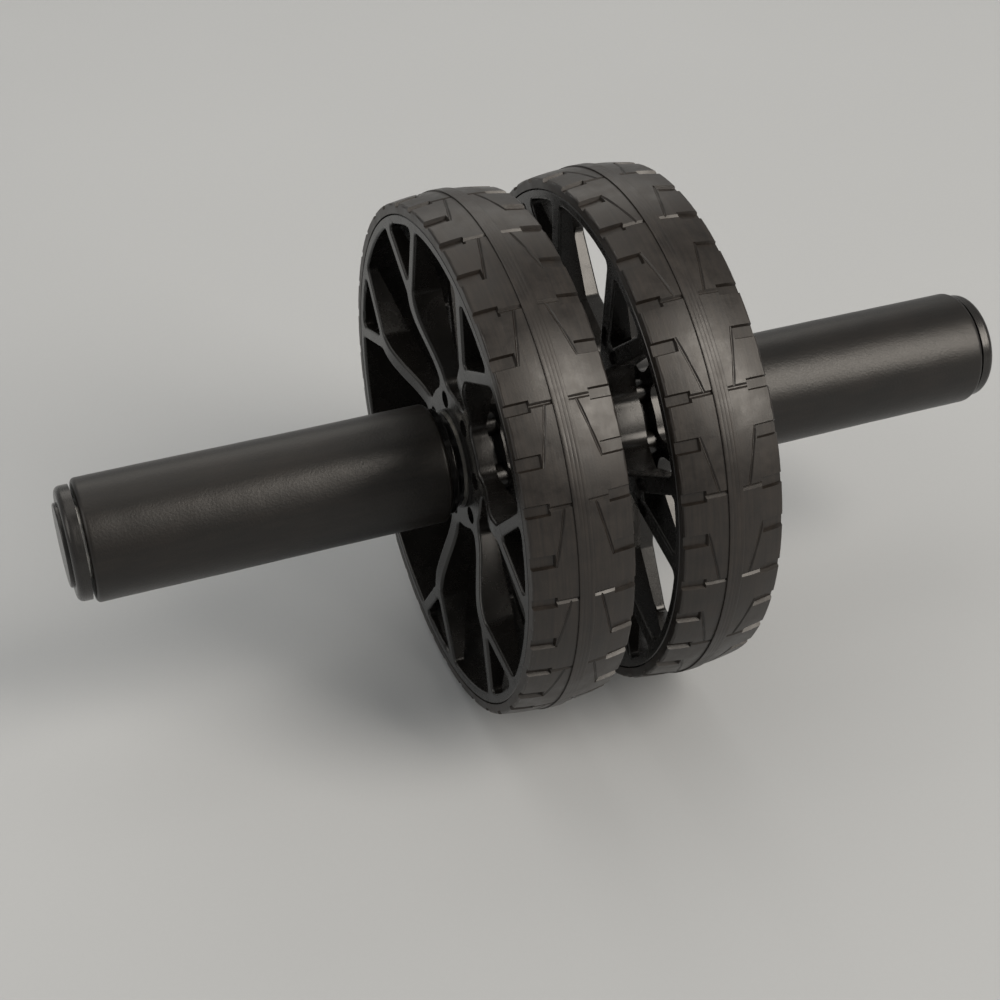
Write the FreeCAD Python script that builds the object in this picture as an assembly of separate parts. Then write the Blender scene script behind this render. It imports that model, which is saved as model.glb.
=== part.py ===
import FreeCAD, Part
import math
import os
from collections import namedtuple

from FreeCAD import Vector

# Abdominal roller: two wide wheels side by side on a fixed tubular axle with a foam grip at each end.
# X runs along the axle, Z is up and the origin is the middle of the axle. Lengths are millimetres.

# Wheels, overall
wheel_radius = 90.0
wheel_width = 34.0
wheel_gap = 16.4
left_wheel_turn = 14.9
right_wheel_turn = -10.8

# Fits, shared by every piece
running_fit = 0.05
seat_fit = 0.02
end_play = 0.05
overrun = 2.0
full_turn = 360.0
quarter_turn = full_turn / 4
half_turn = full_turn / 2

# Axle tube
axle_radius = 12.5
axle_wall = 2.0

# Foam grips
grip_wall = 8.0
grip_length = 119.0
grip_edge_round = 1.6

# End caps and their discs
cap_neck_gap = 1.0
cap_rim = 6.5
cap_thickness = 4.7
cap_edge_round = 2.2
cap_plug_length = 20.0
cap_border = 5.1
disc_stand = 1.3
disc_sink = 0.8
disc_edge_round = 0.6

# Collars that hold the wheels in, and their cross pins
collar_flange_rim = 1.9
collar_flange_length = 3.0
collar_neck_wall = 3.9
collar_neck_length = 2.2
collar_edge_round = 0.7
pin_radius = 1.0
pin_inset = 0.3

# Thrust washers and the spacer between the wheels
washer_rim = 3.9
washer_thickness = 1.0
spacer_wall = 3.5

# Flanged bushes
bush_wall = 3.0
bush_length = 9.5
bush_flange_rim = 1.65
bush_flange_thickness = 1.2

# Tyre
crown_height = 1.6
shoulder_thickness = 3.4
shoulder_round = 0.9
rib_half_width = 2.5
rib_height = 0.4

# Tread: shoulder slots and the thin cuts that join them to the middle rib
pitch_count = 18
slot_length = 7.6
slot_depth = 1.2
slot_wall_lean = 0.5
first_slot_width = 3.8
second_slot_width = 4.4
second_slot_angle = 10.6
cut_width = 1.5
cut_depth = 0.55
cut_wall_lean = 0.6
slant_width = 0.9
slant_depth = 0.35
slant_wall_lean = 0.35
slant_top_offset = 5.0
left_tread_turn = 16.5
right_tread_turn = 1.3

# Rim and hub of a wheel half
rim_wall = 3.6
rim_edge_chamfer = 0.6
hub_margin = 4.4
barrel_wall = 4.2

# Spokes: a stem that forks into two branches
spoke_count = 7
stem_width = 6.2
outer_fork_radius = 57.6
outer_branch_angle = 10.8
outer_branch_width = 4.5
inner_fork_radius = 46.0
inner_branch_angle = 9.8
inner_branch_width = 6.2
dish_radius = 56.0
stem_depth = 10.4
rim_web_depth = 3.4
outer_hub_recess = 6.5
outer_hub_web = 6.2
inner_hub_recess = 2.0
rim_corner_round = 2.5
bend_round = 4.0
hub_corner_round = 5.0
branch_corner_round = 1.8
spoke_edge_round = 0.9
dimple_radius = 2.0
dimple_length = 3.0
dimple_reach = 9.6
dimple_depth = 1.5

# Hub screws and their bosses
screw_inset = 5.03
screw_radius = 2.0
screw_end_cover = 3.5
head_radius = 2.9
head_height = 2.4
head_sink = 1.6
socket_radius = 1.5
socket_depth = 1.3
screw_hole_fit = 0.15
boss_wall = 2.4

# Sizes that follow
half_width = wheel_width / 2
wheel_center = (wheel_gap + wheel_width) / 2
rim_outer_radius = wheel_radius - rib_height - crown_height - shoulder_thickness
rim_inner_radius = rim_outer_radius - rim_wall
axle_bore = axle_radius - axle_wall
axle_seat = axle_radius + seat_fit
grip_radius = axle_radius + grip_wall
cap_radius = axle_radius + cap_rim
disc_radius = cap_radius - cap_border
collar_neck_radius = axle_radius + collar_neck_wall
collar_flange_radius = collar_neck_radius + collar_flange_rim
washer_radius = axle_radius + washer_rim
spacer_radius = axle_radius + spacer_wall
bush_bore = axle_radius + running_fit
bush_radius = bush_bore + bush_wall
bush_flange_radius = bush_radius + bush_flange_rim
hub_bore = bush_radius + seat_fit
screw_circle = hub_bore + screw_inset
hub_radius = screw_circle + hub_margin
inner_hub_web = half_width - inner_hub_recess
head_top = outer_hub_recess + head_sink - half_width
head_seat = head_top + head_height
screw_tip = half_width - inner_hub_recess - screw_end_cover
spoke_pitch = full_turn / spoke_count
outer_hub_face = wheel_center + half_width - outer_hub_recess
inner_hub_face = wheel_center - half_width + inner_hub_recess
outer_thrust_face = outer_hub_face + bush_flange_thickness + end_play
inner_thrust_face = inner_hub_face - bush_flange_thickness - end_play
collar_start = outer_thrust_face + washer_thickness
grip_start = collar_start + collar_neck_length + collar_flange_length
grip_end = grip_start + grip_length
cap_start = grip_end + cap_neck_gap
cap_end = cap_start + cap_thickness

ORIGIN = Vector(0, 0, 0)
AXIS = Vector(1, 0, 0)
AROUND = Vector(0, 1, 0)
UPRIGHT = Vector(0, 0, 1)

Fork = namedtuple("Fork", "radius angle width")
OUTER_FORK = Fork(outer_fork_radius, outer_branch_angle, outer_branch_width)
INNER_FORK = Fork(inner_fork_radius, inner_branch_angle, inner_branch_width)


def outlined(points, curves):
    """Face with straight edges between its points, except where `curves` has the curve after a point."""
    edges = []
    for index, point in enumerate(points):
        following = points[(index + 1) % len(points)]
        edges.append(curves.get(index, Part.LineSegment(point, following)).toShape())
    return Part.Face(Part.Wire(edges))


def profile(outline):
    """Points of the XZ plane from (x, radius) corners."""
    return [Vector(x, 0, radius) for x, radius in outline]


def turned(outline, sweep=full_turn):
    """Solid turned about X from (x, radius) corners."""
    return outlined(profile(outline), {}).revolve(ORIGIN, AXIS, sweep)


def sleeve(bore, radius, start, end):
    """Plain tube about X."""
    return turned([(start, bore), (end, bore), (end, radius), (start, radius)])


def rod(radius, start, end, spot=ORIGIN):
    """Cylinder along X through the point `spot` of the YZ plane."""
    return Part.makeCylinder(radius, end - start, Vector(start, spot.y, spot.z), AXIS)


def spun(shape, angle):
    """Copy of a shape turned about the axle."""
    copy = shape.copy()
    copy.rotate(ORIGIN, AXIS, angle)
    return copy


def around(shape, count):
    """Evenly spaced copies of a shape about the axle."""
    return [spun(shape, step * full_turn / count) for step in range(count)]


def polar(radius, angle):
    """Point of the YZ plane, with the angle measured from +Y towards +Z."""
    return Vector(0, radius * math.cos(math.radians(angle)), radius * math.sin(math.radians(angle)))


def rounded(shape, radius, wanted):
    """Fillet every edge for which `wanted(edge)` is true."""
    return shape.makeFillet(radius, [edge for edge in shape.Edges if wanted(edge)])


def rim_circle(x, radius):
    """Test for the circular edge of a given place and radius."""
    def test(edge):
        curve = edge.Curve
        if not isinstance(curve, Part.Circle):
            return False
        return math.isclose(curve.Center.x, x, abs_tol=seat_fit) and \
            math.isclose(curve.Radius, radius, abs_tol=seat_fit)
    return test


def meet_radius(start, direction, radius):
    """Where a line of the YZ plane leaves the circle of a given radius."""
    along = start.dot(direction)
    return start + direction * (math.sqrt(along ** 2 - start.dot(start) + radius ** 2) - along)


def meet_height(start, direction, height):
    """Where a line of the YZ plane reaches a given Z."""
    return start + direction * ((height - start.z) / direction.z)


def branch_line(fork, side):
    """Line along the branch that leaves the stem on +Y towards +Z, as a point and a direction.

    `side` is 1 for the branch's outside edge, -1 for its inside edge and 0 for its middle.
    """
    start = Vector(0, fork.radius, 0)
    direction = (polar(rim_inner_radius, fork.angle) - start).normalize()
    across = Vector(0, -direction.z, direction.y)
    return start + across * (side * fork.width / 2), direction


def window_prism(points, arcs, rounds):
    """Window between spokes: an outline of lines and arcs, its upright corners rounded.

    `arcs` maps the index of an arc's first point to the point that it passes through, and `rounds`
    lists the corner radii in the order of the points.
    """
    curves = {
        index: Part.Arc(points[index], middle, points[(index + 1) % len(points)])
        for index, middle in arcs.items()
    }
    prism = outlined(points, curves).extrude(AXIS * (wheel_width + overrun))
    prism.translate(-AXIS * (half_width + overrun))
    for point, radius in zip(points, rounds):
        def at_corner(edge, point=point):
            ends = [vertex.Point for vertex in edge.Vertexes]
            return all(math.hypot(end.y - point.y, end.z - point.z) < seat_fit for end in ends)
        prism = rounded(prism, radius, at_corner)
    return prism


def spoke_windows(fork):
    """The wide window between two spokes and the small one between a spoke's two branches."""
    half_stem = stem_width / 2
    outer_start, direction = branch_line(fork, 1)
    inner_start, direction = branch_line(fork, -1)
    hub_corner = Vector(0, math.sqrt(hub_radius ** 2 - half_stem ** 2), half_stem)
    bend = meet_height(outer_start, direction, half_stem)
    rim_corner = meet_radius(outer_start, direction, rim_inner_radius)
    near = [hub_corner, bend, rim_corner]
    far = [spun(Part.Vertex(Vector(0, point.y, -point.z)), spoke_pitch).Point for point in reversed(near)]
    radii = [hub_corner_round, bend_round, rim_corner_round]
    wide = window_prism(
        near + far,
        {2: polar(rim_inner_radius, spoke_pitch / 2), 5: polar(hub_radius, spoke_pitch / 2)},
        radii + radii[::-1],
    )
    tip = meet_height(inner_start, direction, 0)
    inner_corner = meet_radius(inner_start, direction, rim_inner_radius)
    small = window_prism(
        [tip, Vector(0, inner_corner.y, -inner_corner.z), inner_corner],
        {1: polar(rim_inner_radius, 0)},
        [branch_corner_round] * 3,
    )
    return [wide, small]


def dish_depth(radius, hub_recess):
    """Depth of a half wheel's open face below its rim, which eases from the rim to the hub."""
    share = min(1, max(0, (dish_radius - radius) / (dish_radius - hub_radius)))
    return hub_recess * share ** 2 * (3 - 2 * share)


def window_rim(hub_recess):
    """Test for an edge where a window meets the open face of a half wheel."""
    def test(edge):
        middle = edge.valueAt((edge.FirstParameter + edge.LastParameter) / 2)
        radius = math.hypot(middle.y, middle.z)
        inside = hub_radius - seat_fit < radius < rim_inner_radius + seat_fit
        return inside and middle.x + half_width < dish_depth(radius, hub_recess) + seat_fit
    return test


def wheel_half(hub_recess, hub_web, fork):
    """Moulded half wheel in its own frame: its open face at -X, its joint with the other half at x = 0."""
    face = -half_width
    hub_face = face + hub_recess
    rim_middle = rim_inner_radius + rim_wall / 2
    corners = profile([
        (hub_face, hub_bore), (hub_face, hub_radius), (face, dish_radius), (face, rim_middle),
        (face + rim_web_depth, rim_middle), (face + rim_web_depth, rim_inner_radius),
        (face + stem_depth, fork.radius), (hub_face + hub_web, hub_radius), (hub_face + hub_web, hub_bore),
    ])
    third = UPRIGHT * ((dish_radius - hub_radius) / 3)
    dish = Part.BezierCurve()
    dish.setPoles([corners[1], corners[1] + third, corners[2] - third, corners[2]])
    spider = outlined(corners, {1: dish}).revolve(ORIGIN, AXIS, full_turn)
    windows = [copy for window in spoke_windows(fork) for copy in around(window, spoke_count)]
    rim = turned([
        (0, rim_inner_radius), (face, rim_inner_radius), (face, rim_outer_radius - rim_edge_chamfer),
        (face + rim_edge_chamfer, rim_outer_radius), (0, rim_outer_radius),
    ])
    body = spider.cut(windows).fuse(rim).removeSplitter()
    return rounded(body, spoke_edge_round, window_rim(hub_recess))


def outer_half():
    """Half wheel on the grip's side, with bosses drilled for the screws and sunk for their heads."""
    hub_face = -half_width + outer_hub_recess
    spot = polar(screw_circle, 0)
    barrel = sleeve(hub_bore, hub_bore + barrel_wall, hub_face, 0)
    boss = rod(screw_radius + boss_wall, hub_face, 0, spot)
    body = wheel_half(outer_hub_recess, outer_hub_web, OUTER_FORK)
    body = body.fuse([barrel] + around(boss, spoke_count)).removeSplitter()
    hole = rod(screw_radius + screw_hole_fit, hub_face - overrun, overrun, spot)
    sink = rod(head_radius + screw_hole_fit, hub_face - overrun, head_seat, spot)
    return body.cut(around(hole.fuse(sink), spoke_count))


def branch_dimple():
    """Cutter for the oval dimple in the root of an inner branch."""
    start, direction = branch_line(INNER_FORK, 0)
    reach = direction * dimple_radius
    across = Vector(0, -reach.z, reach.y)
    near = start + direction * dimple_reach
    far = near + direction * dimple_length
    points = [near + across, near - across, far - across, far + across]
    arcs = {0: Part.Arc(points[0], near - reach, points[1]), 2: Part.Arc(points[2], far + reach, points[3])}
    dimple = outlined(points, arcs).extrude(AXIS * (overrun + dimple_depth))
    dimple.translate(-AXIS * (half_width + overrun))
    return dimple


def inner_half():
    """Half wheel on the side of the other wheel, with blind screw holes and a dimple in each branch."""
    body = wheel_half(inner_hub_recess, inner_hub_web, INNER_FORK)
    hole = rod(screw_radius + seat_fit, -screw_tip - overrun, overrun, polar(screw_circle, 0))
    dimple = branch_dimple()
    cutters = [copy for cutter in (hole, dimple, dimple.mirror(ORIGIN, UPRIGHT))
               for copy in around(cutter, spoke_count)]
    return body.cut(cutters).mirror(ORIGIN, AXIS)


def hub_screws():
    """Cap screws that hold the two halves together, one at the root of each spoke."""
    spot = polar(screw_circle, 0)
    screw = rod(head_radius, head_top, head_seat, spot).fuse(rod(screw_radius, head_seat, screw_tip, spot))
    screw = screw.cut(rod(socket_radius, head_top - overrun, head_top + socket_depth, spot))
    return Part.makeCompound(around(screw, spoke_count))


def tread_radius(x):
    """Radius of the tread beside the middle rib at a distance x from the tyre's middle."""
    return wheel_radius - rib_height - crown_height * (x / half_width) ** 2


def groove_section(x, angle, across, depth, width, lean, slide=0):
    """Outline across a tread cutter, `width` wide at the tread, with walls that lean out by `lean`.

    `across` points along the outline's width, and `slide` is 1 where it leans towards the rib as well.
    """
    run_on = lean * overrun / depth
    sides = []
    for level, half, shift in ((-depth, width / 2 - lean, lean), (overrun, width / 2 + run_on, -run_on)):
        middle = Vector(x + slide * shift, 0, tread_radius(x) + level)
        sides.append((middle - across * half, middle + across * half))
    (low, low_far), (high, high_far) = sides
    outline = Part.makePolygon([low, low_far, high_far, high, low])
    outline.rotate(ORIGIN, AXIS, angle - quarter_turn)
    return outline


def shoulder_slot(angle, width):
    """Cutter for a shallow slot that is open at the tyre's side."""
    shape = (AROUND, slot_depth, width, slot_wall_lean)
    inner = groove_section(half_width - slot_length, angle, *shape, slide=1)
    return Part.makeLoft([inner, groove_section(half_width + overrun, angle, *shape)], True, True)


def cross_cut():
    """Cutter for the thin cut from the rib to the first slot."""
    ends = (rib_half_width, half_width - slot_length + overrun)
    shape = (AROUND, cut_depth, cut_width, cut_wall_lean)
    return Part.makeLoft([groove_section(x, 0, *shape) for x in ends], True, True)


def slanted_cut():
    """Cutter for the finer cut from the cross cut, near the rib, to the far corner of the second slot."""
    slot_end = half_width - slot_length
    last = second_slot_angle + math.degrees(second_slot_width / 2 / tread_radius(slot_end))
    reach = tread_radius(slot_end) * math.radians(last)
    across = Vector(reach, slot_end - slant_top_offset, 0).normalize()
    sections = []
    for share in (0, 1 / 2, 1):
        x = slant_top_offset + share * (slot_end - slant_top_offset)
        sections.append(groove_section(x, share * last, across, slant_depth, slant_width, slant_wall_lean))
    return Part.makeLoft(sections, True, True)


def tyre():
    """Rubber tyre with a crowned tread, a middle rib, shoulder slots and thin cuts."""
    def crown(start, end):
        return Part.Arc(*profile((x, tread_radius(x)) for x in (start, (start + end) / 2, end)))

    bore = rim_outer_radius + seat_fit
    edge = half_width - shoulder_round
    side_top = tread_radius(edge) - shoulder_round
    rib_side = tread_radius(rib_half_width)
    corners = profile([
        (-half_width, bore), (-half_width, side_top), (-edge, tread_radius(edge)),
        (-rib_half_width, rib_side), (-rib_half_width, wheel_radius),
        (rib_half_width, wheel_radius), (rib_half_width, rib_side),
        (edge, tread_radius(edge)), (half_width, side_top), (half_width, bore),
    ])
    bulge = shoulder_round * math.sqrt(1 / 2)
    left_bulge, right_bulge = profile([(-edge - bulge, side_top + bulge), (edge + bulge, side_top + bulge)])
    sides = {
        1: Part.Arc(corners[1], left_bulge, corners[2]), 2: crown(-edge, -rib_half_width),
        6: crown(rib_half_width, edge), 7: Part.Arc(corners[7], right_bulge, corners[8]),
    }
    body = outlined(corners, sides).revolve(ORIGIN, AXIS, full_turn)
    one_side = [
        shoulder_slot(0, first_slot_width), shoulder_slot(second_slot_angle, second_slot_width),
        cross_cut(), slanted_cut(),
    ]
    both_sides = one_side + [cutter.mirror(ORIGIN, AXIS) for cutter in one_side]
    pattern = both_sides[0].fuse(both_sides[1:])
    return body.cut(around(pattern, pitch_count))


def flanged_bush(hub_face, length):
    """Bush for a hub face at -X of its sleeve."""
    flange = hub_face - bush_flange_thickness
    return turned([
        (flange, bush_bore), (hub_face + length, bush_bore), (hub_face + length, bush_radius),
        (hub_face, bush_radius), (hub_face, bush_flange_radius), (flange, bush_flange_radius),
    ])


def grip():
    """Foam sleeve on the right end of the axle."""
    foam = sleeve(axle_seat, grip_radius, grip_start, grip_end)
    foam = rounded(foam, grip_edge_round, rim_circle(grip_start, grip_radius))
    return rounded(foam, grip_edge_round, rim_circle(grip_end, grip_radius))


def end_cap():
    """Flanged plug for the right end of the axle, with a shallow seat for its disc."""
    seat = cap_end - disc_sink
    plug = axle_bore - seat_fit
    cap = turned([
        (cap_start - cap_plug_length, 0), (cap_start - cap_plug_length, plug), (cap_start, plug),
        (cap_start, cap_radius), (cap_end, cap_radius), (cap_end, disc_radius + seat_fit),
        (seat, disc_radius + seat_fit), (seat, 0),
    ])
    return rounded(cap, cap_edge_round, rim_circle(cap_end, cap_radius))


def cap_disc():
    """Plain round disc in the right end cap."""
    disc = rod(disc_radius, cap_end - disc_sink, cap_end + disc_stand)
    return rounded(disc, disc_edge_round, rim_circle(cap_end + disc_stand, disc_radius))


def collar_pin_spot():
    """Place along the axle of the pin through the right collar's flange."""
    return grip_start - collar_flange_length / 2


def collar_pin():
    """Pin from below through the right collar into the axle tube."""
    length = collar_flange_radius - pin_inset - axle_bore
    return Part.makeCylinder(pin_radius, length, Vector(collar_pin_spot(), 0, -axle_bore - length), UPRIGHT)


def pin_hole():
    """Hole for the pin in the right collar and the tube."""
    length = collar_flange_radius + overrun
    return Part.makeCylinder(pin_radius + seat_fit, length, Vector(collar_pin_spot(), 0, -length), UPRIGHT)


def collar():
    """Stepped collar between the right wheel's hub and the right grip."""
    flange_start = collar_start + collar_neck_length
    body = turned([
        (collar_start, axle_seat), (grip_start, axle_seat), (grip_start, collar_flange_radius),
        (flange_start, collar_flange_radius), (flange_start, collar_neck_radius),
        (collar_start, collar_neck_radius),
    ])
    body = rounded(body, collar_edge_round, rim_circle(flange_start, collar_flange_radius))
    return body.cut(pin_hole())


def axle_tube():
    """Steel tube from cap to cap, drilled for the two collar pins."""
    tube = sleeve(axle_bore, axle_radius, -cap_start, cap_start)
    return tube.cut([pin_hole(), pin_hole().mirror(ORIGIN, AXIS)])


def washer(start):
    """Thrust washer on the right of the origin."""
    return sleeve(axle_seat, washer_radius, start, start + washer_thickness)


def mirrored_pieces():
    """Pieces of the right end of the axle, which the left end repeats in mirror image."""
    return {
        "grip": grip(),
        "end_cap": end_cap(),
        "cap_disc": cap_disc(),
        "collar": collar(),
        "collar_pin": collar_pin(),
        "outer_washer": washer(outer_thrust_face),
        "inner_washer": washer(inner_thrust_face - washer_thickness),
    }


def wheel_pieces():
    """Pieces of one wheel in its own frame, with the outer face at -X."""
    inner_face = -half_width + inner_hub_recess
    return {
        "outer_wheel_half": outer_half(),
        "inner_wheel_half": inner_half(),
        "tyre": tyre(),
        "hub_screws": hub_screws(),
        "outer_bush": flanged_bush(-half_width + outer_hub_recess, bush_length),
        "inner_bush": flanged_bush(inner_face, bush_length).mirror(ORIGIN, AXIS),
    }


def placed_wheel(name, piece, side):
    """Piece of a wheel at its place: `side` is -1 for the left wheel and 1 for the right one."""
    placed = piece.copy()
    if side > 0:
        placed.rotate(ORIGIN, UPRIGHT, half_turn)
    if name == "tyre":
        placed = spun(placed, right_tread_turn if side > 0 else left_tread_turn)
    else:
        placed = spun(placed, right_wheel_turn if side > 0 else left_wheel_turn)
    placed.translate(AXIS * side * wheel_center)
    return placed


def main():
    """Build every piece and write one file per node."""
    spacer_end = inner_thrust_face - washer_thickness
    nodes = {
        "axle_tube": axle_tube(),
        "center_spacer": sleeve(axle_seat, spacer_radius, -spacer_end, spacer_end),
    }
    for name, piece in mirrored_pieces().items():
        nodes["right_" + name] = piece
        nodes["left_" + name] = piece.mirror(ORIGIN, AXIS)
    for name, piece in wheel_pieces().items():
        nodes["left_" + name] = placed_wheel(name, piece, -1)
        nodes["right_" + name] = placed_wheel(name, piece, 1)
    os.makedirs("parts", exist_ok=True)
    for name, shape in nodes.items():
        shape.exportStep("parts/" + name + ".step")
        print(name, len(shape.Solids), shape.isValid(), round(shape.Volume))


main()
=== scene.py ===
import logging
import math
from dataclasses import dataclass
from enum import Enum

import bmesh
import bpy
from mathutils import Matrix, Vector, noise


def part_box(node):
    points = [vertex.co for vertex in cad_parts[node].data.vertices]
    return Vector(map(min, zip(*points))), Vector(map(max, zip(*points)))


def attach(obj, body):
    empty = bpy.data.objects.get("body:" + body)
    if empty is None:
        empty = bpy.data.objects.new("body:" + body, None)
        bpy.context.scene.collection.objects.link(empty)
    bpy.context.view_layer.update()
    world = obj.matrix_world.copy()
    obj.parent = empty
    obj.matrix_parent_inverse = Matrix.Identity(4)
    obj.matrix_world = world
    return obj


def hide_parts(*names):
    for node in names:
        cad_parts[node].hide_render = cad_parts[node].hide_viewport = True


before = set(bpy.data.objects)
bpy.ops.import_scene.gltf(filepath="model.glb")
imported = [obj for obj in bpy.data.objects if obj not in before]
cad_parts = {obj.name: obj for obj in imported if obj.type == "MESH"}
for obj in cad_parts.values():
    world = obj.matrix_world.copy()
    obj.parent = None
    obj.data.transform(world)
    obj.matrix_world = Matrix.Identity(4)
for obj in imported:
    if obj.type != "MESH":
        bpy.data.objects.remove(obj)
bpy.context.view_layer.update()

Tree = bpy.types.NodeTree
Node = bpy.types.Node
Socket = bpy.types.NodeSocket
Material = bpy.types.Material
Object = bpy.types.Object

MM = 0.001

# Most values of a noise texture lie between these two
NOISE_LOW, NOISE_HIGH = 0.3, 0.7

log = logging.getLogger("ab_roller")


class Side(Enum):
    """Which end of the axle a piece belongs to; the value is its sign along X."""

    LEFT = -1
    RIGHT = 1

    @property
    def word(self) -> str:
        """The side's word as CAD node names use it."""
        return self.name.lower()

    @property
    def wheel_body(self) -> str:
        """The CAD body that turns with this side's wheel."""
        return f"{self.word}_wheel"


def linear(colour: str) -> tuple[float, float, float, float]:
    """Turns an sRGB hex colour into the linear values that a shader reads, by the standard's own curve.

    Args:
        colour: Six hex digits after a hash sign.

    Returns:
        Linear red, green and blue, and an alpha of one.
    """
    channels = []
    for start in (1, 3, 5):
        value = int(colour[start:start + 2], 16) / 255
        channels.append(value / 12.92 if value <= 0.04045 else ((value + 0.055) / 1.055) ** 2.4)
    return (channels[0], channels[1], channels[2], 1.0)


def per(size_mm: float) -> float:
    """The pattern scale whose features are this many millimetres across."""
    return 1 / (size_mm * MM)


def add_node(tree: Tree, kind: str, inputs: dict | None = None, **settings: object) -> Node:
    """Adds one node to a shader or geometry tree.

    Args:
        tree: The tree that gets the node.
        kind: Blender's name for the node type.
        inputs: Socket name or number to a value, or to the output socket that feeds it.
        **settings: Properties of the node itself.

    Returns:
        The new node.
    """
    node = tree.nodes.new(kind)
    for key, value in settings.items():
        setattr(node, key, value)
    for key, value in (inputs or {}).items():
        if isinstance(value, Socket):
            tree.links.new(value, node.inputs[key])
        else:
            node.inputs[key].default_value = value
    return node


def around_axle(tree: Tree, point: Socket, stretch: float) -> Socket:
    """Coordinates that change quickly along and away from the axle, and slowly around it.

    Args:
        tree: The material's tree.
        point: Object coordinates.
        stretch: Metres of pattern for each unit of turn, small for long marks.

    Returns:
        A vector socket that draws any texture as rings about X, with no seam.
    """
    parts = add_node(tree, "ShaderNodeSeparateXYZ", {"Vector": point}).outputs
    flat = add_node(tree, "ShaderNodeCombineXYZ", {"Y": parts["Y"], "Z": parts["Z"]}).outputs["Vector"]
    radius = add_node(tree, "ShaderNodeVectorMath", {0: flat}, operation="LENGTH").outputs["Value"]
    facing = add_node(tree, "ShaderNodeVectorMath", {0: flat}, operation="NORMALIZE").outputs["Vector"]
    slow = add_node(tree, "ShaderNodeVectorMath", {0: facing, "Scale": stretch}, operation="SCALE")
    across = add_node(tree, "ShaderNodeCombineXYZ", {"X": parts["X"], "Y": radius, "Z": radius})
    rings = add_node(tree, "ShaderNodeVectorMath", {0: slow.outputs["Vector"], 1: across.outputs["Vector"]},
                     operation="ADD")
    return rings.outputs["Vector"]


@dataclass(frozen=True)
class Finish:
    """What every finish has: its name, its two colours and the two ends of its roughness."""

    name: str
    dark: str
    pale: str
    smooth: float
    rough: float

    def material(self) -> Material:
        """Makes the material, with a pattern painted by the finish itself.

        Returns:
            A new material that reads Object coordinates.
        """
        made = bpy.data.materials.new(self.name)
        made.use_nodes = True
        tree = made.node_tree
        tree.nodes.clear()
        point = add_node(tree, "ShaderNodeTexCoord").outputs["Object"]
        shader = add_node(tree, "ShaderNodeBsdfPrincipled")
        self.paint(tree, point, shader)
        add_node(tree, "ShaderNodeOutputMaterial", {"Surface": shader.outputs["BSDF"]})
        return made

    def paint(self, tree: Tree, point: Socket, shader: Node) -> None:
        """Adds the finish's own pattern.

        Args:
            tree: The material's tree.
            point: Object coordinates.
            shader: The surface shader that takes the pattern.
        """
        raise NotImplementedError

    def tint(self, tree: Tree, amount: Socket, shader: Node) -> None:
        """Mixes the dark colour towards the pale one.

        Args:
            tree: The material's tree.
            amount: Zero for dark, one for pale.
            shader: The shader whose base colour is set.
        """
        mixed = add_node(tree, "ShaderNodeMix", {0: amount, 6: linear(self.dark), 7: linear(self.pale)},
                         data_type="RGBA")
        tree.links.new(mixed.outputs[2], shader.inputs["Base Color"])

    def gloss(self, tree: Tree, amount: Socket, shader: Node) -> None:
        """Spreads the roughness between the finish's two ends.

        Args:
            tree: The material's tree.
            amount: A noise, low for smooth and high for rough.
            shader: The shader whose roughness is set.
        """
        spread = add_node(tree, "ShaderNodeMapRange", {"Value": amount, "From Min": NOISE_LOW,
                                                       "From Max": NOISE_HIGH, "To Min": self.smooth,
                                                       "To Max": self.rough})
        tree.links.new(spread.outputs["Result"], shader.inputs["Roughness"])

    def relief(self, tree: Tree, height: Socket, depth_mm: float, shader: Node,
               under: Socket | None = None) -> Socket:
        """Turns a pattern into fine relief.

        Args:
            tree: The material's tree.
            height: The pattern, from zero to one.
            depth_mm: How deep the pattern is.
            shader: The shader whose normal is set.
            under: The normal of a coarser relief below this one.

        Returns:
            The new normal.
        """
        inputs = {"Height": height, "Distance": depth_mm * MM}
        if under is not None:
            inputs["Normal"] = under
        normal = add_node(tree, "ShaderNodeBump", inputs).outputs["Normal"]
        tree.links.new(normal, shader.inputs["Normal"])
        return normal


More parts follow.
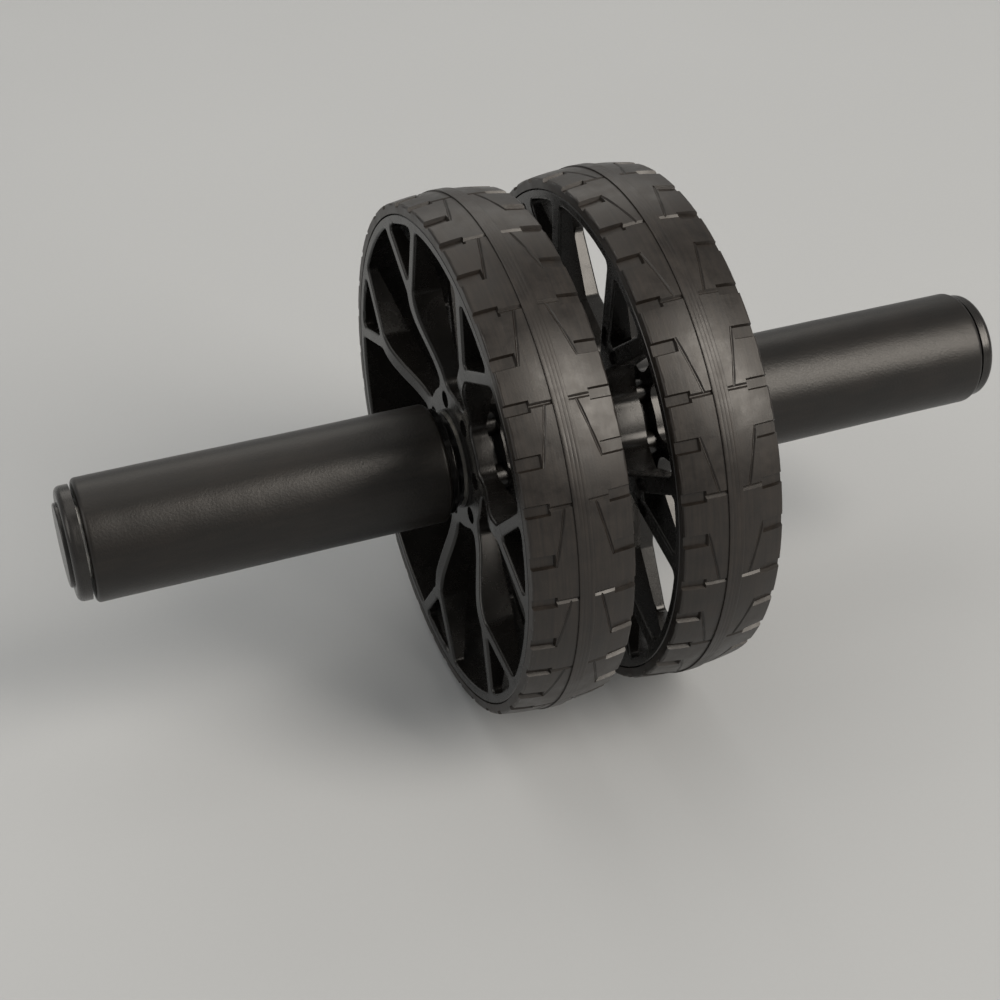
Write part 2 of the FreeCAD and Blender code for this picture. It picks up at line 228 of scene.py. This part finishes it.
@dataclass(frozen=True)
class FoamSkin(Finish):
    """Extruded nitrile foam with a ground skin: a soft, nearly even black with a fine pitted grain."""

    sheen: float = 0.45
    cell_mm: float = 0.8  # real cells are finer; drawn coarser, so that they show
    cell_depth_mm: float = 0.03
    cloud_mm: float = 16.0
    draw_mm: float = 1.6
    draw_length: float = 0.12  # below one, so that the lines run along the axle
    shade_low: float = 0.12
    shade_high: float = 0.4

    def paint(self, tree: Tree, point: Socket, shader: Node) -> None:
        """Paints pits, soft clouding and faint lines along the extrusion.

        Args:
            tree: The material's tree.
            point: Object coordinates.
            shader: The surface shader that takes the pattern.
        """
        shader.inputs["Specular IOR Level"].default_value = self.sheen
        cloud = add_node(tree, "ShaderNodeTexNoise", {"Vector": point, "Scale": per(self.cloud_mm),
                                                      "Detail": 4.0})
        lengthways = add_node(tree, "ShaderNodeMapping", {"Vector": point,
                                                          "Scale": (self.draw_length, 1.0, 1.0)})
        drawn = add_node(tree, "ShaderNodeTexNoise", {"Vector": lengthways.outputs["Vector"],
                                                      "Scale": per(self.draw_mm), "Detail": 3.0})
        cells = add_node(tree, "ShaderNodeTexVoronoi", {"Vector": point, "Scale": per(self.cell_mm)},
                         feature="SMOOTH_F1")
        grit = add_node(tree, "ShaderNodeTexNoise", {"Vector": point, "Scale": per(self.cell_mm / 2),
                                                     "Detail": 3.0})
        both = add_node(tree, "ShaderNodeMath", {0: cloud.outputs["Fac"], 1: drawn.outputs["Fac"]},
                        operation="MULTIPLY")
        shade = add_node(tree, "ShaderNodeMapRange", {"Value": both.outputs["Value"],
                                                      "From Min": self.shade_low,
                                                      "From Max": self.shade_high})
        self.tint(tree, shade.outputs["Result"], shader)
        self.gloss(tree, grit.outputs["Fac"], shader)
        pits = add_node(tree, "ShaderNodeMath", {0: cells.outputs["Distance"], 1: grit.outputs["Fac"]},
                        operation="ADD")
        self.relief(tree, pits.outputs["Value"], self.cell_depth_mm, shader)


@dataclass(frozen=True)
class MouldedRubber(Finish):
    """Moulded rubber: charcoal with a soft sheen, faint rings from the turned mould and pale rubbed patches."""

    sheen: float = 0.5
    grain_mm: float = 0.5  # a moulded grain is finer; drawn coarser, so that it shows
    grain_depth_mm: float = 0.02
    ring_mm: float = 0.9  # a turned mould's rings are closer; drawn coarser, so that they show
    ring_stretch: float = 0.004
    rub_mm: float = 7.0
    rub_roughness: float = 0.65
    shade_low: float = 0.12
    shade_high: float = 0.42

    def paint(self, tree: Tree, point: Socket, shader: Node) -> None:
        """Paints mould rings, rubbed patches and a fine grain.

        Args:
            tree: The material's tree.
            point: Object coordinates.
            shader: The surface shader that takes the pattern.
        """
        shader.inputs["Specular IOR Level"].default_value = self.sheen
        rings = add_node(tree, "ShaderNodeTexNoise", {"Vector": around_axle(tree, point, self.ring_stretch),
                                                      "Scale": per(self.ring_mm), "Detail": 4.0})
        rubbed = add_node(tree, "ShaderNodeTexNoise", {"Vector": point, "Scale": per(self.rub_mm),
                                                       "Detail": 6.0, "Roughness": self.rub_roughness})
        grain = add_node(tree, "ShaderNodeTexNoise", {"Vector": point, "Scale": per(self.grain_mm),
                                                      "Detail": 4.0})
        both = add_node(tree, "ShaderNodeMath", {0: rings.outputs["Fac"], 1: rubbed.outputs["Fac"]},
                        operation="MULTIPLY")
        shade = add_node(tree, "ShaderNodeMapRange", {"Value": both.outputs["Value"],
                                                      "From Min": self.shade_low,
                                                      "From Max": self.shade_high})
        self.tint(tree, shade.outputs["Result"], shader)
        self.gloss(tree, rubbed.outputs["Fac"], shader)
        lines = self.relief(tree, rings.outputs["Fac"], self.grain_depth_mm, shader)
        self.relief(tree, grain.outputs["Fac"], self.grain_depth_mm, shader, lines)


@dataclass(frozen=True)
class SparkTexturedPlastic(Finish):
    """Injection-moulded nylon from a spark-textured mould: satin black, with fine grain and soft flow marks."""

    grain_mm: float = 0.45  # a spark texture is finer; drawn coarser, so that it shows
    grain_depth_mm: float = 0.015
    grain_share: float = 0.35
    flow_mm: float = 9.0
    flow_swirl: float = 1.2

    def paint(self, tree: Tree, point: Socket, shader: Node) -> None:
        """Paints the mould's grain and the flow marks.

        Args:
            tree: The material's tree.
            point: Object coordinates.
            shader: The surface shader that takes the pattern.
        """
        flow = add_node(tree, "ShaderNodeTexNoise", {"Vector": point, "Scale": per(self.flow_mm),
                                                     "Detail": 5.0, "Distortion": self.flow_swirl})
        grain = add_node(tree, "ShaderNodeTexNoise", {"Vector": point, "Scale": per(self.grain_mm),
                                                      "Detail": 4.0})
        self.tint(tree, flow.outputs["Fac"], shader)
        both = add_node(tree, "ShaderNodeMix", {0: self.grain_share, 2: flow.outputs["Fac"],
                                                3: grain.outputs["Fac"]})
        self.gloss(tree, both.outputs[0], shader)
        self.relief(tree, grain.outputs["Fac"], self.grain_depth_mm, shader)


@dataclass(frozen=True)
class PolishedPlastic(Finish):
    """Moulded ABS from a polished mould: glossy black, with a slight ripple and wiping marks round the axle."""

    ripple_mm: float = 2.4
    ripple_depth_mm: float = 0.008
    wipe_mm: float = 0.35  # wiping marks are finer; drawn coarser, so that they show
    wipe_stretch: float = 0.002

    def paint(self, tree: Tree, point: Socket, shader: Node) -> None:
        """Paints the ripple and the wiping marks.

        Args:
            tree: The material's tree.
            point: Object coordinates.
            shader: The surface shader that takes the pattern.
        """
        ripple = add_node(tree, "ShaderNodeTexNoise", {"Vector": point, "Scale": per(self.ripple_mm),
                                                       "Detail": 1.0})
        wipes = add_node(tree, "ShaderNodeTexNoise", {"Vector": around_axle(tree, point, self.wipe_stretch),
                                                      "Scale": per(self.wipe_mm), "Detail": 3.0})
        self.tint(tree, wipes.outputs["Fac"], shader)
        self.gloss(tree, wipes.outputs["Fac"], shader)
        self.relief(tree, ripple.outputs["Fac"], self.ripple_depth_mm, shader)


@dataclass(frozen=True)
class TurnedSurface(Finish):
    """Steel or plastic cut on a lathe: fine rings about the axle that draw each highlight into a streak."""

    metal: float = 1.0
    ring_mm: float = 0.25  # a lathe's rings are closer; drawn coarser, so that they show
    ring_stretch: float = 0.0015
    ring_depth_mm: float = 0.006
    ring_share: float = 0.5
    stain_mm: float = 6.0

    def paint(self, tree: Tree, point: Socket, shader: Node) -> None:
        """Paints the tool's rings and a soft staining.

        Args:
            tree: The material's tree.
            point: Object coordinates.
            shader: The surface shader that takes the pattern.
        """
        shader.inputs["Metallic"].default_value = self.metal
        rings = add_node(tree, "ShaderNodeTexNoise", {"Vector": around_axle(tree, point, self.ring_stretch),
                                                      "Scale": per(self.ring_mm), "Detail": 3.0})
        stain = add_node(tree, "ShaderNodeTexNoise", {"Vector": point, "Scale": per(self.stain_mm),
                                                      "Detail": 5.0})
        both = add_node(tree, "ShaderNodeMix", {0: self.ring_share, 2: stain.outputs["Fac"],
                                                3: rings.outputs["Fac"]})
        self.tint(tree, both.outputs[0], shader)
        self.gloss(tree, both.outputs[0], shader)
        self.relief(tree, rings.outputs["Fac"], self.ring_depth_mm, shader)


@dataclass(frozen=True)
class PaperSweep(Finish):
    """Matt card: pale grey, with a faint fibre grain and slow clouding."""

    fibre_mm: float = 1.5  # card fibres are finer; drawn coarser, so that they show
    fibre_depth_mm: float = 0.02
    cloud_mm: float = 260.0

    def paint(self, tree: Tree, point: Socket, shader: Node) -> None:
        """Paints the fibres and the clouding.

        Args:
            tree: The material's tree.
            point: Object coordinates.
            shader: The surface shader that takes the pattern.
        """
        fibre = add_node(tree, "ShaderNodeTexNoise", {"Vector": point, "Scale": per(self.fibre_mm),
                                                      "Detail": 3.0})
        cloud = add_node(tree, "ShaderNodeTexNoise", {"Vector": point, "Scale": per(self.cloud_mm),
                                                      "Detail": 2.0})
        self.tint(tree, cloud.outputs["Fac"], shader)
        self.gloss(tree, fibre.outputs["Fac"], shader)
        self.relief(tree, fibre.outputs["Fac"], self.fibre_depth_mm, shader)


# One finish for each material slot of the CAD nodes
FINISHES: dict[str, Finish] = {
    # soft near-black, pitted where the skin was ground
    "grip_foam": FoamSkin("nitrile_foam_ground", "#0e0c0a", "#181411", 0.32, 0.44),
    # warm charcoal, paler where it is rubbed
    "tyre_rubber": MouldedRubber("rubber_moulded_charcoal", "#16120f", "#28221d", 0.28, 0.46),
    # satin black that catches the light along its edges
    "wheel_plastic": SparkTexturedPlastic("nylon_spark_textured", "#11100f", "#1a1816", 0.2, 0.32),
    # the glossiest black on the roller, with sharp highlights
    "collar_plastic": PolishedPlastic("abs_polished_collar", "#0f0f0f", "#161515", 0.12, 0.24),
    # paler than the collar, with a softer gloss
    "cap_plastic": PolishedPlastic("abs_polished_cap", "#161514", "#1f1d1c", 0.2, 0.34),
    # a shade paler than the cap
    "disc_plastic": PolishedPlastic("abs_polished_disc", "#181716", "#21201e", 0.2, 0.34),
    # black with the tool's rings in its sheen
    "spacer_plastic": TurnedSurface("acetal_turned_spacer", "#171615", "#201f1d", 0.26, 0.4, metal=0.0),
    # darker and duller than the spacer
    "bush_plastic": TurnedSurface("acetal_turned_bush", "#121211", "#1a1918", 0.3, 0.44, metal=0.0),
    # bright metal with streaked highlights
    "steel": TurnedSurface("steel_bright_plated", "#a9a7a3", "#d2d0cc", 0.16, 0.3),
    # greyer and duller metal
    "washer_steel": TurnedSurface("steel_zinc_plated", "#8f8d88", "#b9b6af", 0.26, 0.42),
    # near-black metal with a dull sheen
    "screw_steel": TurnedSurface("steel_black_oxide", "#1f1f20", "#2e2d2c", 0.34, 0.5),
}
FLOOR_CARD = PaperSweep("card_matt_pale", "#b5b8bb", "#babdc0", 0.7, 0.85)


@dataclass
class FoamGrip:
    """A foam sleeve that is pushed over one end of the axle."""

    side: Side
    bore_mm: float = 12.55
    radius_mm: float = 20.5
    lip_round_mm: float = 1.5
    lip_steps: int = 6
    along_steps: int = 220
    around_steps: int = 176
    swell_mm: float = 0.12
    swell_size_mm: float = 34.0
    dimple_mm: float = 0.05
    dimple_size_mm: float = 7.0
    noise_shift: float = 7.3  # parts the two grips in the noise, so that they swell differently
    fill: float = 1.0

    @property
    def node(self) -> str:
        """The CAD solid that this sleeve stands for."""
        return f"{self.side.word}_grip"

    def outline(self) -> list[tuple[float, float, float]]:
        """Draws the sleeve's section.

        Returns:
            Closed loop of (place along X, radius, softness), the first two in millimetres; softness is one
            where the skin can swell.
        """
        low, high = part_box(self.node)
        start, end = low.x / MM, high.x / MM
        lip = [(0.0, self.bore_mm, 0.0)]
        for step in range(self.lip_steps + 1):
            turn = math.pi / 2 * step / self.lip_steps
            lip.append((self.lip_round_mm * (1 - math.cos(turn)),
                        self.radius_mm - self.lip_round_mm * (1 - math.sin(turn)), step / self.lip_steps))
        run = end - start - 2 * self.lip_round_mm
        near = [(start + along, radius, softness) for along, radius, softness in lip]
        side = [(start + self.lip_round_mm + run * step / self.along_steps, self.radius_mm, 1.0)
                for step in range(1, self.along_steps)]
        far = [(end - along, radius, softness) for along, radius, softness in reversed(lip)]
        return near + side + far

    def build(self) -> Object:
        """Turns the section round the axle and lets the skin swell a little, as cut foam does.

        Returns:
            The sleeve, at the origin, with its place in its mesh.
        """
        shift = Vector((0.0, 0.0, self.noise_shift * self.side.value))
        loop = self.outline()
        mesh = bmesh.new()
        rings = []
        for step in range(self.around_steps):
            angle = math.tau * step / self.around_steps
            facing = Vector((0.0, math.cos(angle), math.sin(angle)))
            ring = []
            for along, radius, softness in loop:
                place = Vector((along, 0.0, 0.0)) + facing * radius
                swell = noise.noise(place / self.swell_size_mm + shift) * self.swell_mm
                dimple = noise.noise(place / self.dimple_size_mm + shift) * self.dimple_mm
                ring.append(mesh.verts.new((place + facing * (swell + dimple) * softness) * MM))
            rings.append(ring)
        count = len(loop)
        for step in range(self.around_steps):
            here, there = rings[step], rings[(step + 1) % self.around_steps]
            for i in range(count):
                after = (i + 1) % count
                mesh.faces.new((here[i], there[i], there[after], here[after]))
        bmesh.ops.recalc_face_normals(mesh, faces=mesh.faces)
        data = bpy.data.meshes.new(f"{self.node}_sleeve")
        mesh.to_mesh(data)
        mesh.free()
        data.shade_smooth()
        made = bpy.data.objects.new(f"{self.node}_sleeve", data)
        bpy.context.scene.collection.objects.link(made)
        return made

    def dress(self, made: Object, skin: Material) -> None:
        """Gives the sleeve its skin, hangs it on the handlebar and hides the CAD solid that it stands for.

        Args:
            made: The sleeve.
            skin: The foam's material.
        """
        made.data.materials.append(skin)
        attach(made, "handlebar")
        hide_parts(self.node)


@dataclass
class RibRidges:
    """Four low bands, parted by three faint valleys, that run round the middle rib of one tyre."""

    side: Side
    radius_mm: float = 90.0
    centre_mm: float = 25.2
    count: int = 4
    pitch_mm: float = 1.18
    width_mm: float = 1.36
    height_mm: float = 0.06
    around_steps: int = 288
    section_steps: int = 24

    def tree(self) -> Tree:
        """Builds the rule: a row of hoops about X, each swept with a flat oval.

        Returns:
            A geometry tree with named inputs for every size and for the rubber.
        """
        tree = bpy.data.node_groups.new("hoops_about_axle", "GeometryNodeTree")
        face = tree.interface
        for name, kind in (("Radius", "Float"), ("Centre", "Float"), ("Count", "Int"), ("Pitch", "Float"),
                           ("Width", "Float"), ("Height", "Float"), ("Steps", "Int"), ("Section", "Int"),
                           ("Rubber", "Material")):
            face.new_socket(name=name, in_out="INPUT", socket_type=f"NodeSocket{kind}")
        face.new_socket(name="Geometry", in_out="OUTPUT", socket_type="NodeSocketGeometry")
        sizes = add_node(tree, "NodeGroupInput").outputs
        hoop = add_node(tree, "GeometryNodeCurvePrimitiveCircle", {"Resolution": sizes["Steps"],
                                                                   "Radius": sizes["Radius"]})
        upright = add_node(tree, "GeometryNodeTransform", {"Geometry": hoop.outputs["Curve"],
                                                           "Rotation": (0.0, math.pi / 2, 0.0)})
        # One unit across, so that the scale below is the oval's width and height
        oval = add_node(tree, "GeometryNodeCurvePrimitiveCircle", {"Resolution": sizes["Section"],
                                                                   "Radius": 0.5})
        flat = add_node(tree, "ShaderNodeCombineXYZ", {"X": sizes["Width"], "Y": sizes["Height"], "Z": 1.0})
        section = add_node(tree, "GeometryNodeTransform", {"Geometry": oval.outputs["Curve"],
                                                           "Scale": flat.outputs["Vector"]})
        swept = add_node(tree, "GeometryNodeCurveToMesh", {"Curve": upright.outputs["Geometry"],
                                                           "Profile Curve": section.outputs["Geometry"]})
        gaps = add_node(tree, "ShaderNodeMath", {0: sizes["Count"], 1: 1.0}, operation="SUBTRACT")
        span = add_node(tree, "ShaderNodeMath", {0: gaps.outputs["Value"], 1: sizes["Pitch"]},
                        operation="MULTIPLY")
        # The row starts half its span before the centre
        first = add_node(tree, "ShaderNodeMath", {0: span.outputs["Value"], 1: -0.5, 2: sizes["Centre"]},
                         operation="MULTIPLY_ADD")
        start = add_node(tree, "ShaderNodeCombineXYZ", {"X": first.outputs["Value"]})
        step = add_node(tree, "ShaderNodeCombineXYZ", {"X": sizes["Pitch"]})
        row = add_node(tree, "GeometryNodeMeshLine", {"Count": sizes["Count"],
                                                      "Start Location": start.outputs["Vector"],
                                                      "Offset": step.outputs["Vector"]})
        placed = add_node(tree, "GeometryNodeInstanceOnPoints", {"Points": row.outputs["Mesh"],
                                                                 "Instance": swept.outputs["Mesh"]})
        real = add_node(tree, "GeometryNodeRealizeInstances", {"Geometry": placed.outputs["Instances"]})
        rubber = add_node(tree, "GeometryNodeSetMaterial", {"Geometry": real.outputs["Geometry"],
                                                            "Material": sizes["Rubber"]})
        add_node(tree, "NodeGroupOutput", {"Geometry": rubber.outputs["Geometry"]})
        return tree

    def build(self, rubber: Material) -> Object:
        """Runs the rule for this tyre and keeps the result as a plain mesh.

        Args:
            rubber: The tyre's material.

        Returns:
            The ridges, at the origin, with their place in their mesh.
        """
        name = f"{self.side.word}_rib_ridges"
        made = bpy.data.objects.new(name, bpy.data.meshes.new(f"{name}_seed"))
        bpy.context.scene.collection.objects.link(made)
        rule = made.modifiers.new("hoops", "NODES")
        rule.node_group = self.tree()
        # The inner half of each oval lies in the rib, so the oval is twice as high as the band
        sizes = {"Radius": self.radius_mm * MM, "Centre": self.side.value * self.centre_mm * MM,
                 "Count": self.count, "Pitch": self.pitch_mm * MM, "Width": self.width_mm * MM,
                 "Height": 2 * self.height_mm * MM, "Steps": self.around_steps,
                 "Section": self.section_steps, "Rubber": rubber}
        for item in rule.node_group.interface.items_tree:
            if item.item_type == "SOCKET" and item.in_out == "INPUT":
                rule[item.identifier] = sizes[item.name]
        depsgraph = bpy.context.evaluated_depsgraph_get()
        data = bpy.data.meshes.new_from_object(made.evaluated_get(depsgraph))
        data.name = name
        made.modifiers.remove(rule)
        made.data = data
        data.shade_smooth()
        return made

    def dress(self, made: Object) -> None:
        """Lets the ridges turn with their wheel."""
        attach(made, self.side.wheel_body)


@dataclass
class Roller:
    """The CAD pieces that show as they are, each with its own finish."""

    hidden: tuple[str, ...] = ("left_grip", "right_grip")

    def finishes(self) -> dict[str, Material]:
        """Makes one material for each finish slot."""
        return {slot: finish.material() for slot, finish in FINISHES.items()}

    def dress(self, materials: dict[str, Material]) -> None:
        """Gives every CAD node the finish of its own slot.

        Args:
            materials: Slot name to material.
        """
        for name, node in sorted(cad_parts.items()):
            if name in self.hidden:
                continue
            for place in node.material_slots:
                slot = place.material.name.split(".")[0]
                place.material = materials[slot]
                log.info("dressed %s with %s", name, materials[slot].name)


@dataclass(frozen=True)
class SoftLamp:
    """A rectangular softbox that faces the axle; its place and its sides are in metres."""

    name: str
    place: tuple[float, float, float]
    width: float
    height: float
    watts: float
    colour: str

    def build(self) -> Object:
        """Hangs the lamp and turns it to the middle of the axle.

        Returns:
            The lamp.
        """
        data = bpy.data.lights.new(self.name, "AREA")
        data.shape = "RECTANGLE"
        data.size = self.width
        data.size_y = self.height
        data.energy = self.watts
        data.color = linear(self.colour)[:3]
        lamp = bpy.data.objects.new(self.name, data)
        lamp.location = self.place
        lamp.rotation_euler = (-Vector(self.place)).to_track_quat("-Z", "Y").to_euler()
        bpy.context.scene.collection.objects.link(lamp)
        return lamp


# A tall key softbox at the right front, and weak ones above, behind and on the left
LAMPS: tuple[SoftLamp, ...] = (
    SoftLamp("right_front", (1.5, -1.86, 2.14), 1.3, 2.6, 86.0, "#fff6ea"),
    SoftLamp("overhead", (-0.2, 0.5, 1.6), 1.2, 1.0, 3.0, "#fff9f0"),
    SoftLamp("behind", (0.2, 1.7, 1.2), 2.0, 1.0, 7.0, "#fff9f0"),
    SoftLamp("left", (-1.6, -0.1, 1.0), 0.8, 1.2, 6.0, "#fff9f0"),
)


@dataclass
class Studio:
    """A pale floor, soft lamps and the camera; places are in metres and angles in degrees."""

    floor_half: float = 4.0
    floor_cells: int = 8
    floor_z: float = -0.0904
    sky_colour: str = "#bdbdbb"
    sky_strength: float = 0.64
    backdrop_strength: float = 1.0
    camera_place: tuple[float, float, float] = (-0.1948, -0.4550, 0.3442)
    camera_pitch: float = 36.93
    camera_yaw: float = 21.13
    camera_lens: float = 62.43
    camera_sensor: float = 36.0
    camera_near: float = 0.01

    def floor(self) -> Object:
        """Lays the pale card that the wheels stand on.

        Returns:
            The floor.
        """
        mesh = bmesh.new()
        bmesh.ops.create_grid(mesh, x_segments=self.floor_cells, y_segments=self.floor_cells,
                              size=self.floor_half, matrix=Matrix.Translation((0.0, 0.0, self.floor_z)))
        data = bpy.data.meshes.new("floor")
        mesh.to_mesh(data)
        mesh.free()
        data.materials.append(FLOOR_CARD.material())
        made = bpy.data.objects.new("floor", data)
        bpy.context.scene.collection.objects.link(made)
        return made

    def sky(self) -> None:
        """Fills the room with even light, and shows the camera a paler backdrop behind the floor."""
        world = bpy.data.worlds.new("room")
        world.use_nodes = True
        tree = world.node_tree
        tree.nodes.clear()
        seen = add_node(tree, "ShaderNodeLightPath").outputs["Is Camera Ray"]
        level = add_node(tree, "ShaderNodeMapRange", {"Value": seen, "To Min": self.sky_strength,
                                                      "To Max": self.backdrop_strength})
        room = add_node(tree, "ShaderNodeBackground", {"Color": linear(self.sky_colour),
                                                       "Strength": level.outputs["Result"]})
        add_node(tree, "ShaderNodeOutputWorld", {"Surface": room.outputs["Background"]})
        bpy.context.scene.world = world

    def lamps(self) -> None:
        """Hangs every lamp."""
        for lamp in LAMPS:
            lamp.build()

    def camera(self) -> None:
        """Sets the camera at the photograph's angle."""
        data = bpy.data.cameras.new("camera")
        data.lens = self.camera_lens
        data.sensor_width = self.camera_sensor
        data.clip_start = self.camera_near
        made = bpy.data.objects.new("camera", data)
        made.location = self.camera_place
        made.rotation_euler = (math.radians(90 - self.camera_pitch), 0.0, math.radians(-self.camera_yaw))
        bpy.context.scene.collection.objects.link(made)
        bpy.context.scene.camera = made
        bpy.context.scene.view_settings.view_transform = "Standard"


def main() -> None:
    """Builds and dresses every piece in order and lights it."""
    logging.basicConfig(level=logging.INFO, format="%(name)s: %(message)s")
    studio = Studio()
    studio.camera()
    roller = Roller()
    materials = roller.finishes()
    roller.dress(materials)
    for side in Side:
        grip = FoamGrip(side)
        sleeve = grip.build()
        grip.dress(sleeve, materials["grip_foam"])
        log.info("built %s: %d faces", sleeve.name, len(sleeve.data.polygons))
        ridges = RibRidges(side)
        hoops = ridges.build(materials["tyre_rubber"])
        ridges.dress(hoops)
        log.info("built %s: %d faces", hoops.name, len(hoops.data.polygons))
    studio.sky()
    studio.lamps()
    floor = studio.floor()
    log.info("laid %s", floor.name)


if __name__ == "__main__":
    main()
